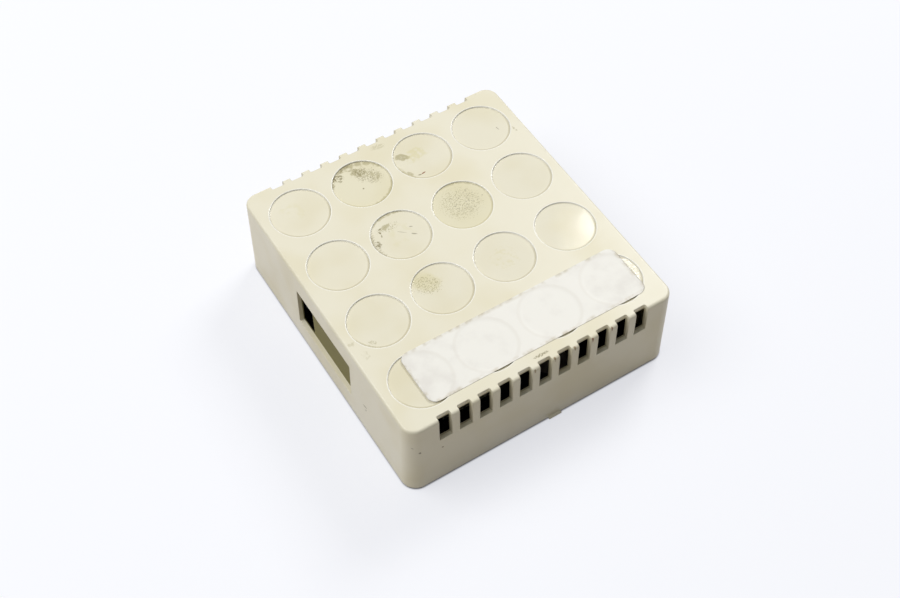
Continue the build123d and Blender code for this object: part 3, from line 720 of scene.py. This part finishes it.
@dataclass(frozen=True)
class Paper:
    """Coated white label paper: faint fibres and a darker blotchy band along its edge, which is millimetres
    wide.
    """

    colour: Colour = linear(240, 238, 230)
    greyed: Colour = linear(214, 209, 202)
    # The darker colour laid in a blotchy band along the label's edge.
    grime: Colour = linear(196, 186, 160)
    rim_mark: Colour = linear(222, 217, 206)
    roughness: float = 0.5
    smear: float = 0.08
    edge_width: float = 1.6
    edge_darkening: float = 0.8
    smudge: float = 0.45
    smudge_fade: Pair = (0.4, 0.74)
    smudge_share: float = 0.8
    ends_share: float = 0.22
    ends_most: float = 0.75
    ends_from: float = 0.35
    rim_strength: float = 0.25
    rim_band: RimBand = RimBand(-1.1, -0.2, 0.0, 0.7)
    fibre_depth: float = 0.008 * MM
    relief: float = 0.4

    def material(self) -> bpy.types.Material:
        """Builds the material.

        Returns:
            The finished paper.
        """
        graph = Graph("blank_label_paper")
        x, y, _ = graph.axes()
        low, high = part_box("paper_label")
        off_x, off_y = (graph.unsigned(graph.minus(value, (low[axis] + high[axis]) / 2 / MM))
                        for axis, value in enumerate((x, y)))
        half_x, half_y = ((high[axis] - low[axis]) / 2 / MM for axis in range(2))
        edge = graph.most(graph.fade(off_x, half_x - self.edge_width, half_x),
                          graph.fade(off_y, half_y - self.edge_width, half_y))
        blotch = graph.fade(graph.grain(0.35, 5.0, seed=12), 0.4, 0.7)
        ends = graph.fade(off_x, self.ends_from * half_x, half_x, self.ends_most)
        cloud = graph.math("MULTIPLY_ADD", graph.grain(0.16, 6.0, seed=31), self.smudge_share,
                           graph.times(ends, self.ends_share))
        colour = graph.blend(graph.fade(cloud, *self.smudge_fade, self.smudge), self.colour, self.greyed)
        ring = self.rim_band.mask(graph, GRID.away(graph, x, y))
        colour = graph.blend(graph.times(ring, self.rim_strength), colour, self.rim_mark)
        colour = graph.blend(graph.times(edge, blotch, self.edge_darkening), colour, self.grime)
        fibres = graph.grain(3.0, 5.0, seed=3)
        graph.set(Base_Color=colour, Roughness=graph.drift(fibres, self.roughness, self.smear),
                  Normal=graph.bump(fibres, self.fibre_depth, self.relief))
        return graph.material


@dataclass(frozen=True)
class Tape:
    """Yellow polyester tape over wound wire, with the turns showing faintly as ridges."""

    colour: Colour = linear(196, 150, 44)
    edge: Colour = linear(150, 104, 30)
    turns_per_mm: float = 2.5
    ridge_share: float = 0.3
    ridge_depth: float = 0.05 * MM
    relief: float = 0.7
    coat: float = 0.4

    def material(self) -> bpy.types.Material:
        """Builds the material.

        Returns:
            The finished tape.
        """
        graph = Graph("coil_tape_yellow")
        x, _, _ = graph.axes()
        ridge = graph.math("SINE", graph.times(x, 2 * math.pi * self.turns_per_mm))
        uneven = graph.grain(0.4, seed=6)
        height = graph.math("ADD", graph.times(ridge, self.ridge_share), uneven)
        graph.set(Base_Color=graph.blend(graph.fade(uneven, 0.4, 0.75), self.colour, self.edge),
                  Roughness=graph.spread(uneven, 0.18, 0.34),
                  Normal=graph.bump(height, self.ridge_depth, self.relief), Coat_Weight=self.coat)
        return graph.material


@dataclass(frozen=True)
class Enamel:
    """Copper wire in clear enamel."""

    colour: Colour = linear(176, 96, 52)
    dark: Colour = linear(120, 58, 30)

    def material(self) -> bpy.types.Material:
        """Builds the material.

        Returns:
            The finished wire.
        """
        graph = Graph("enamelled_copper")
        shade = graph.fade(graph.grain(0.8, seed=8), 0.35, 0.7)
        graph.set(Base_Color=graph.blend(shade, self.colour, self.dark),
                  Roughness=graph.spread(shade, 0.22, 0.35), Metallic=1.0)
        return graph.material


def dress(material: bpy.types.Material, *nodes: str) -> None:
    """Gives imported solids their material.

    Args:
        material: The finish for all their slots.
        nodes: The solids' names.
    """
    for node in nodes:
        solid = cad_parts[node]
        if not solid.material_slots:
            solid.data.materials.append(material)
        for place in solid.material_slots:
            place.material = material
        log.info("dressed %s in %s", node, material.name)


def add_piece(name: str, mesh: bmesh.types.BMesh, body: str | None, material: bpy.types.Material,
              replaced: Sequence[str]) -> bpy.types.Object:
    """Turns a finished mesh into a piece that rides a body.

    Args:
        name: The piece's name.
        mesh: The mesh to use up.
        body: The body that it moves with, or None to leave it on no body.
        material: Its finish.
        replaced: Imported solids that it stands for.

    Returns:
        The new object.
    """
    bmesh.ops.recalc_face_normals(mesh, faces=mesh.faces)
    data = bpy.data.meshes.new(name)
    mesh.to_mesh(data)
    mesh.free()
    for face in data.polygons:
        face.use_smooth = True
    piece = bpy.data.objects.new(name, data)
    bpy.context.scene.collection.objects.link(piece)
    data.materials.append(material)
    if body is not None:
        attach(piece, body)
    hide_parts(*replaced)
    log.info("made %s on %s", name, body or "two bodies")
    return piece


def axle(low: Sequence[float], high: Sequence[float]) -> Pair:
    """The y and z of the middle line along X of the box between two corners."""
    return (low[1] + high[1]) / 2, (low[2] + high[2]) / 2


def join_rings(mesh: bmesh.types.BMesh, rings: Sequence[Sequence[bmesh.types.BMVert]]) -> None:
    """Lays a strip of faces between each ring of corners and the next."""
    for near, far in zip(rings, rings[1:]):
        for corner in range(len(near)):
            after = (corner + 1) % len(near)
            mesh.faces.new((near[corner], near[after], far[after], far[corner]))


def lathe_along_x(profile: Sequence[Pair], axis_y: float, axis_z: float, steps: int,
                  swell: Callable[[float], float] = lambda angle: 0.0) -> bmesh.types.BMesh:
    """Turns a closed profile about a line along X.

    Args:
        profile: Points of x and radius.
        axis_y: The line's y.
        axis_z: The line's z.
        steps: Sides of the turned shape.
        swell: Extra radius for an angle.

    Returns:
        The turned mesh.
    """
    mesh = bmesh.new()
    rings = []
    for x, radius in profile:
        ring = []
        for step in range(steps):
            angle = 2 * math.pi * step / steps
            reach = radius + swell(angle)
            place = (x, axis_y + reach * math.cos(angle), axis_z + reach * math.sin(angle))
            ring.append(mesh.verts.new(place))
        rings.append(ring)
    join_rings(mesh, rings + rings[:1])
    return mesh


@dataclass
class Case:
    """The cover with its label, and the base behind them."""

    cell: float = 0.55 * MM
    sag: float = 0.11 * MM
    sag_run: float = 1.3 * MM
    ripple: float = 0.025 * MM
    corner: float = 3.0 * MM
    ripple_run: float = 9 * MM
    ripple_layer: float = 0.3
    sheet_share: float = 0.8
    skin: IvoryPlastic = IvoryPlastic()
    paper: Paper = Paper()
    base: MouldedPlastic = MouldedPlastic(
        "black_base_plastic", linear(30, 30, 32), 0.5, 0.1, 0.012, 4.0)

    def build(self) -> None:
        """Dresses the shells and lays the label."""
        dress(self.skin.material(), "cover")
        dress(self.base.material(), "base_plate")
        self.label()

    def label_height(self, x: float, y: float, thickness: float) -> float:
        """How high the label's upper side lies above the face.

        Args:
            x: Place in metres.
            y: Place in metres.
            thickness: The paper's thickness.

        Returns:
            The height in metres: it dips into the recesses that it covers.
        """
        dip = 0.0
        for column in range(GRID.columns):
            middle = GRID.spot(column, GRID.rows - 1, 0.0, 0.0)
            away = math.hypot(x - middle[0] * MM, y - middle[1] * MM)
            inside = (GRID.radius * MM - away) / self.sag_run
            share = max(0.0, min(1.0, inside))
            dip += self.sag * share * share * (3 - 2 * share)
        wave = noise.noise(Vector((x, y, self.ripple_layer)) / self.ripple_run)
        return thickness - dip - self.ripple * (0.5 - 0.5 * wave)

    def label(self) -> None:
        """Makes the blank label as one sheet with rounded corners that dips over the recess rims."""
        low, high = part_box("paper_label")
        width, depth, thickness = (high[axis] - low[axis] for axis in range(3))
        rows, columns = round(depth / self.cell), round(width / self.cell)
        mesh = bmesh.new()
        upper, lower = [], []
        for row in range(rows + 1):
            y = low[1] + depth * (0.5 - 0.5 * math.cos(math.pi * (row / rows)))
            past = max(0.0, self.corner - min(y - low[1], high[1] - y))
            inset = self.corner - math.sqrt(max(0.0, self.corner**2 - past**2))
            top_line, foot_line = [], []
            for column in range(columns + 1):
                x = low[0] + inset + (width - 2 * inset) * column / columns
                z = low[2] + self.label_height(x, y, thickness)
                top_line.append(mesh.verts.new((x, y, z)))
                foot_line.append(mesh.verts.new((x, y, z - self.sheet_share * thickness)))
            upper.append(top_line)
            lower.append(foot_line)
        for near, far, foot_near, foot_far in zip(upper, upper[1:], lower, lower[1:]):
            for column in range(columns):
                after = column + 1
                mesh.faces.new((near[column], near[after], far[after], far[column]))
                mesh.faces.new((foot_near[column], foot_far[column], foot_far[after], foot_near[after]))
            for side in (0, columns):
                mesh.faces.new((near[side], far[side], foot_far[side], foot_near[side]))
        for top_line, foot_line in ((upper[0], lower[0]), (upper[rows], lower[rows])):
            for column in range(columns):
                after = column + 1
                mesh.faces.new((top_line[column], top_line[after], foot_line[after], foot_line[column]))
        add_piece("blank_label", mesh, "cover", self.paper.material(), ["paper_label"])


@dataclass
class ToneBars:
    """The two struck plates with their grommets."""

    plate: Metal = Metal(
        "zinc_plated_bar", linear(176, 180, 188), linear(120, 122, 128), 0.28,
        Lay.ALONG_Y, 0.006, 5.0, 0.6)
    rubber: MouldedPlastic = MouldedPlastic(
        "grommet_rubber", linear(38, 37, 36), 0.72, 0.12, 0.02, 3.0)

    def build(self) -> None:
        """Dresses the bars and their grommets."""
        dress(self.plate.material(), "tone_bar_dong", "tone_bar_ding")
        dress(self.rubber.material(), "tone_bar_grommets")


@dataclass
class Solenoid:
    """Frame, bobbin, winding, tape and tube."""

    turn_pitch: float = 0.42 * MM
    turn_depth: float = 0.09 * MM
    steps: int = 64
    tape_steps: int = 96
    tape_step: float = 0.14 * MM
    tape_gap: float = 0.04 * MM
    tape_edge: float = 0.08 * MM
    tape_lap: float = 70.0
    bobbin_wall: float = 1.0 * MM
    strip: Metal = Metal(
        "passivated_strip", linear(190, 186, 172), linear(150, 140, 108), 0.34,
        Lay.ALL_WAYS, 0.005, 4.0, 0.55)
    spool: MouldedPlastic = MouldedPlastic(
        "bobbin_nylon", linear(226, 222, 208), 0.4, 0.04, 0.006, 4.0, 0.15)
    brass: Metal = Metal(
        "guide_tube_brass", linear(206, 172, 98), linear(150, 116, 60), 0.26,
        Lay.ALONG_X, 0.003, 6.0, 0.62)
    wire: Enamel = Enamel()
    tape: Tape = Tape()

    def build(self) -> None:
        """Dresses the solenoid, winds its wire and lays its tape."""
        dress(self.strip.material(), "solenoid_frame")
        dress(self.spool.material(), "coil_bobbin")
        dress(self.brass.material(), "guide_tube")
        self.winding()
        self.wrap()

    def winding(self) -> None:
        """Makes the wound wire's ridged outside."""
        low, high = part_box("coil_winding")
        axis_y, axis_z = axle(low, high)
        tube_low, tube_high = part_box("guide_tube")
        radius = (high[1] - low[1]) / 2
        bore = (tube_high[1] - tube_low[1]) / 2 + self.bobbin_wall
        turns = round((high[0] - low[0]) / self.turn_pitch)
        profile = []
        for turn in range(turns):
            for part in range(4):
                x = low[0] + (high[0] - low[0]) * (turn + part / 4) / turns
                profile.append((x, radius - self.turn_depth * abs(part - 2) / 2))
        profile += [(high[0], radius - self.turn_depth), (high[0], bore), (low[0], bore)]
        mesh = lathe_along_x(profile, axis_y, axis_z, self.steps)
        add_piece("wound_wire", mesh, "base", self.wire.material(), ["coil_winding"])

    def wrap(self) -> None:
        """Makes the tape with the step where its end overlaps."""
        low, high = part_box("coil_wrap")
        axis_y, axis_z = axle(low, high)
        wound_low, wound_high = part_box("coil_winding")
        inner = (wound_high[1] - wound_low[1]) / 2 + self.tape_gap
        outer = (high[1] - low[1]) / 2 - self.tape_step
        soft = self.tape_edge

        def swell(angle: float) -> float:
            """The tape is thicker over its lap."""
            return self.tape_step if angle < math.radians(self.tape_lap) else 0.0

        profile = [(low[0], inner), (low[0], outer - soft), (low[0] + soft, outer), (high[0] - soft, outer),
                   (high[0], outer - soft), (high[0], inner)]
        mesh = lathe_along_x(profile, axis_y, axis_z, self.tape_steps, swell)
        for vertex in mesh.verts:
            out_y, out_z = vertex.co.y - axis_y, vertex.co.z - axis_z
            reach = math.hypot(out_y, out_z)
            if reach < inner + 1.5 * self.tape_step:
                share = inner / reach
                vertex.co.y, vertex.co.z = axis_y + out_y * share, axis_z + out_z * share
        add_piece("coil_tape", mesh, "base", self.tape.material(), ["coil_wrap"])


@dataclass
class Plunger:
    """The sliding core, its nylon strikers and the return spring."""

    steel: Metal = Metal(
        "turned_core_steel", linear(168, 168, 166), linear(110, 106, 100), 0.3,
        Lay.ALL_WAYS, 0.004, 6.0, 0.6)
    nylon: MouldedPlastic = MouldedPlastic(
        "striker_nylon", linear(236, 234, 226), 0.32, 0.03, 0.004, 4.0, 0.2)
    wire: Metal = Metal(
        "bright_spring_wire", linear(190, 190, 188), linear(130, 128, 124), 0.2,
        Lay.ALL_WAYS, 0.002, 8.0, 0.66)
    wire_width: float = 0.6 * MM
    turns: int = 5
    steps_per_turn: int = 28
    wire_sides: int = 12

    def build(self) -> None:
        """Dresses the moving pieces."""
        dress(self.steel.material(), "plunger_core")
        dress(self.nylon.material(), "striker_dong", "striker_ding")
        self.spring()

    def spring(self) -> None:
        """Makes the return spring as one helical wire."""
        low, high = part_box("return_spring")
        reach = self.wire_width / 2
        mean = (high[1] - low[1]) / 2 - reach
        axis_y, axis_z = axle(low, high)
        start, end = low[0] + reach, high[0] - reach
        steps = self.turns * self.steps_per_turn
        mesh = bmesh.new()
        rings = []
        for step in range(steps + 1):
            angle = 2 * math.pi * self.turns * step / steps
            out = Vector((0.0, math.cos(angle), math.sin(angle)))
            round_the_axis = Vector((0.0, -out.z, out.y)) * 2 * math.pi * self.turns * mean
            along = (Vector((end - start, 0.0, 0.0)) + round_the_axis).normalized()
            side = along.cross(out)
            middle = Vector((start + (end - start) * step / steps, axis_y, axis_z)) + out * mean
            ring = []
            for corner in range(self.wire_sides):
                turn = 2 * math.pi * corner / self.wire_sides
                ring.append(mesh.verts.new(middle + (out * math.cos(turn) + side * math.sin(turn)) * reach))
            rings.append(ring)
        join_rings(mesh, rings)
        mesh.faces.new(rings[0])
        mesh.faces.new(rings[-1])
        piece = add_piece("return_spring_wire", mesh, None, self.wire.material(),
                          ["return_spring"])
        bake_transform(piece)


@dataclass
class Wiring:
    """The terminal block, its inserts, and the coil's two leads."""

    block: MouldedPlastic = MouldedPlastic(
        "terminal_block_plastic", linear(228, 228, 222), 0.38, 0.03, 0.006, 4.0, 0.15)
    brass: Metal = Metal(
        "insert_brass", linear(212, 182, 112), linear(160, 126, 70), 0.28, Lay.ALL_WAYS, 0.004, 6.0, 0.6)
    red: MouldedPlastic = MouldedPlastic(
        "lead_red", linear(176, 34, 28), 0.3, 0.08, 0.003, 5.0)
    black: MouldedPlastic = MouldedPlastic(
        "lead_black", linear(34, 33, 34), 0.3, 0.08, 0.003, 5.0)

    def build(self) -> None:
        """Dresses the wiring."""
        dress(self.block.material(), "terminal_block")
        dress(self.brass.material(), "terminal_inserts")
        dress(self.red.material(), "coil_lead_inner")
        dress(self.black.material(), "coil_lead_outer")


@dataclass
class Screws:
    """Every screw inside: the bars', the solenoid's, the clamps' and the block's."""

    steel: Metal = Metal(
        "zinc_screw", linear(198, 198, 192), linear(150, 146, 132), 0.3, Lay.ALL_WAYS, 0.003, 8.0, 0.6)

    def build(self) -> None:
        """Dresses the screws."""
        dress(self.steel.material(), "tone_bar_screws", "solenoid_screws", "terminal_screws", "block_screw")


@dataclass(frozen=True)
class Lamp:
    """One soft box: where it stands, what it looks at, its size and its strength."""

    name: str
    place: Place
    aim: Place
    width: float
    height: float
    power: float

    def build(self) -> None:
        """Puts the lamp in the scene."""
        light = bpy.data.lights.new(self.name, "AREA")
        light.shape = "RECTANGLE"
        light.size = self.width
        light.size_y = self.height
        light.energy = self.power
        lamp = bpy.data.objects.new(self.name, light)
        lamp.location = self.place
        lamp.rotation_euler = (Vector(self.aim) - Vector(self.place)).to_track_quat("-Z", "Y").to_euler()
        bpy.context.scene.collection.objects.link(lamp)
        log.info("lit %s", self.name)


@dataclass
class Studio:
    """The pale floor, the soft light and the camera."""

    face_height: float = 33.2 * MM
    eye: Place = (-144.1 * MM, -230.0 * MM, 349.5 * MM)
    azimuth: float = 31.854
    elevation: float = 54.387
    roll: float = -0.216
    lens: float = 55.44
    sensor: float = 36.0
    clip: Pair = (0.01, 20.0)
    floor_colour: Colour = linear(190, 181, 166)
    floor_seen: Colour = (0.32, 0.32, 0.32)
    floor_glow: Colour = (0.63, 0.64, 0.68)
    floor_half: float = 4.0
    floor_drop: float = 0.05 * MM
    floor_roughness: float = 0.8
    floor_gloss: float = 0.1
    case_corner_mm: float = 5.2
    contact_shade_mm: Pair = (-0.5, 0.45)
    world_colour: Colour = (1.0, 1.0, 1.0)
    world_strength: float = 0.2
    lamps: tuple[Lamp, ...] = (
        Lamp("broad_box", (0.88, 0.45, 0.95), (0.0, 0.0, 0.03), 0.5, 0.5, 9.0),
        Lamp("small_glare", (0.556, 0.564, 1.0), (0.042, -0.015, 0.033), 0.03, 0.025, 0.1),
        Lamp("overhead_box", (-0.60, 0.30, 1.05), (0.0, 0.0, 0.02), 0.9, 0.9, 10.1),
    )

    def build(self) -> None:
        """Makes the floor, world, lamps and camera."""
        self.floor()
        self.world()
        for lamp in self.lamps:
            lamp.build()
        self.camera()
        bpy.context.scene.view_settings.view_transform = "Standard"

    def floor(self) -> None:
        """Lays the pale floor just under the object."""
        mesh = bmesh.new()
        half = self.floor_half
        mesh.faces.new([mesh.verts.new((half * x, half * y, -self.floor_drop))
                        for x, y in ((-1, -1), (1, -1), (1, 1), (-1, 1))])
        data = bpy.data.meshes.new("pale_floor")
        mesh.to_mesh(data)
        mesh.free()
        floor = bpy.data.objects.new("pale_floor", data)
        bpy.context.scene.collection.objects.link(floor)
        data.materials.append(self.floor_paint())

    def floor_paint(self) -> bpy.types.Material:
        """Builds the floor's finish: pale paint that the camera sees as nearly white, with a painted
        contact shadow under and round the case.

        Returns:
            The floor's material.
        """
        graph = Graph("pale_floor_paint")
        rays = graph.node("LightPath").outputs
        seen = graph.most(rays["Is Camera Ray"], rays["Is Glossy Ray"], rays["Is Transmission Ray"])
        # The camera-seen glow stops under the case and fades in a thin band round its foot: a painted
        # contact shadow.
        places = zip(graph.axes(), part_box("cover")[1][:2])
        past = [graph.most(graph.minus(graph.unsigned(value), half / MM - self.case_corner_mm), 0.0)
                for value, half in places]
        clear = graph.fade(graph.hypot(past), *(self.case_corner_mm + out for out in self.contact_shade_mm))
        graph.set(Base_Color=graph.blend(seen, self.floor_colour, self.floor_seen),
                  Roughness=self.floor_roughness, Specular_IOR_Level=self.floor_gloss,
                  Emission_Color=self.floor_glow, Emission_Strength=graph.times(seen, clear))
        return graph.material

    def world(self) -> None:
        """Sets the even light from all round."""
        world = bpy.data.worlds.new("studio_air")
        world.use_nodes = True
        back = world.node_tree.nodes["Background"]
        back.inputs["Color"].default_value = (*self.world_colour, 1.0)
        back.inputs["Strength"].default_value = self.world_strength
        bpy.context.scene.world = world

    def camera(self) -> None:
        """Stands the camera where the photograph was taken from."""
        data = bpy.data.cameras.new("portrait_camera")
        data.lens = self.lens
        data.sensor_width = self.sensor
        data.sensor_fit = "HORIZONTAL"
        data.clip_start, data.clip_end = self.clip
        camera = bpy.data.objects.new("portrait_camera", data)
        azimuth, elevation = math.radians(self.azimuth), math.radians(self.elevation)
        forward = Vector((math.sin(azimuth) * math.cos(elevation), math.cos(azimuth) * math.cos(elevation),
                          -math.sin(elevation)))
        right = Vector((math.cos(azimuth), -math.sin(azimuth), 0.0))
        up = right.cross(forward)
        turn = math.radians(self.roll)
        right, up = (right * math.cos(turn) + up * math.sin(turn),
                     up * math.cos(turn) - right * math.sin(turn))
        basis = Matrix((right, up, -forward)).transposed().to_4x4()
        place = Vector(self.eye) + Vector((0.0, 0.0, self.face_height))
        camera.matrix_world = Matrix.Translation(place) @ basis
        bpy.context.scene.collection.objects.link(camera)
        bpy.context.scene.camera = camera


def main() -> None:
    """Builds the chime's looks in order."""
    logging.basicConfig(level=logging.INFO, format="%(name)s: %(message)s")
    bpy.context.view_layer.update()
    for assembly in (Studio, Case, ToneBars, Solenoid, Plunger, Wiring, Screws):
        assembly().build()


if __name__ == "__main__":
    main()
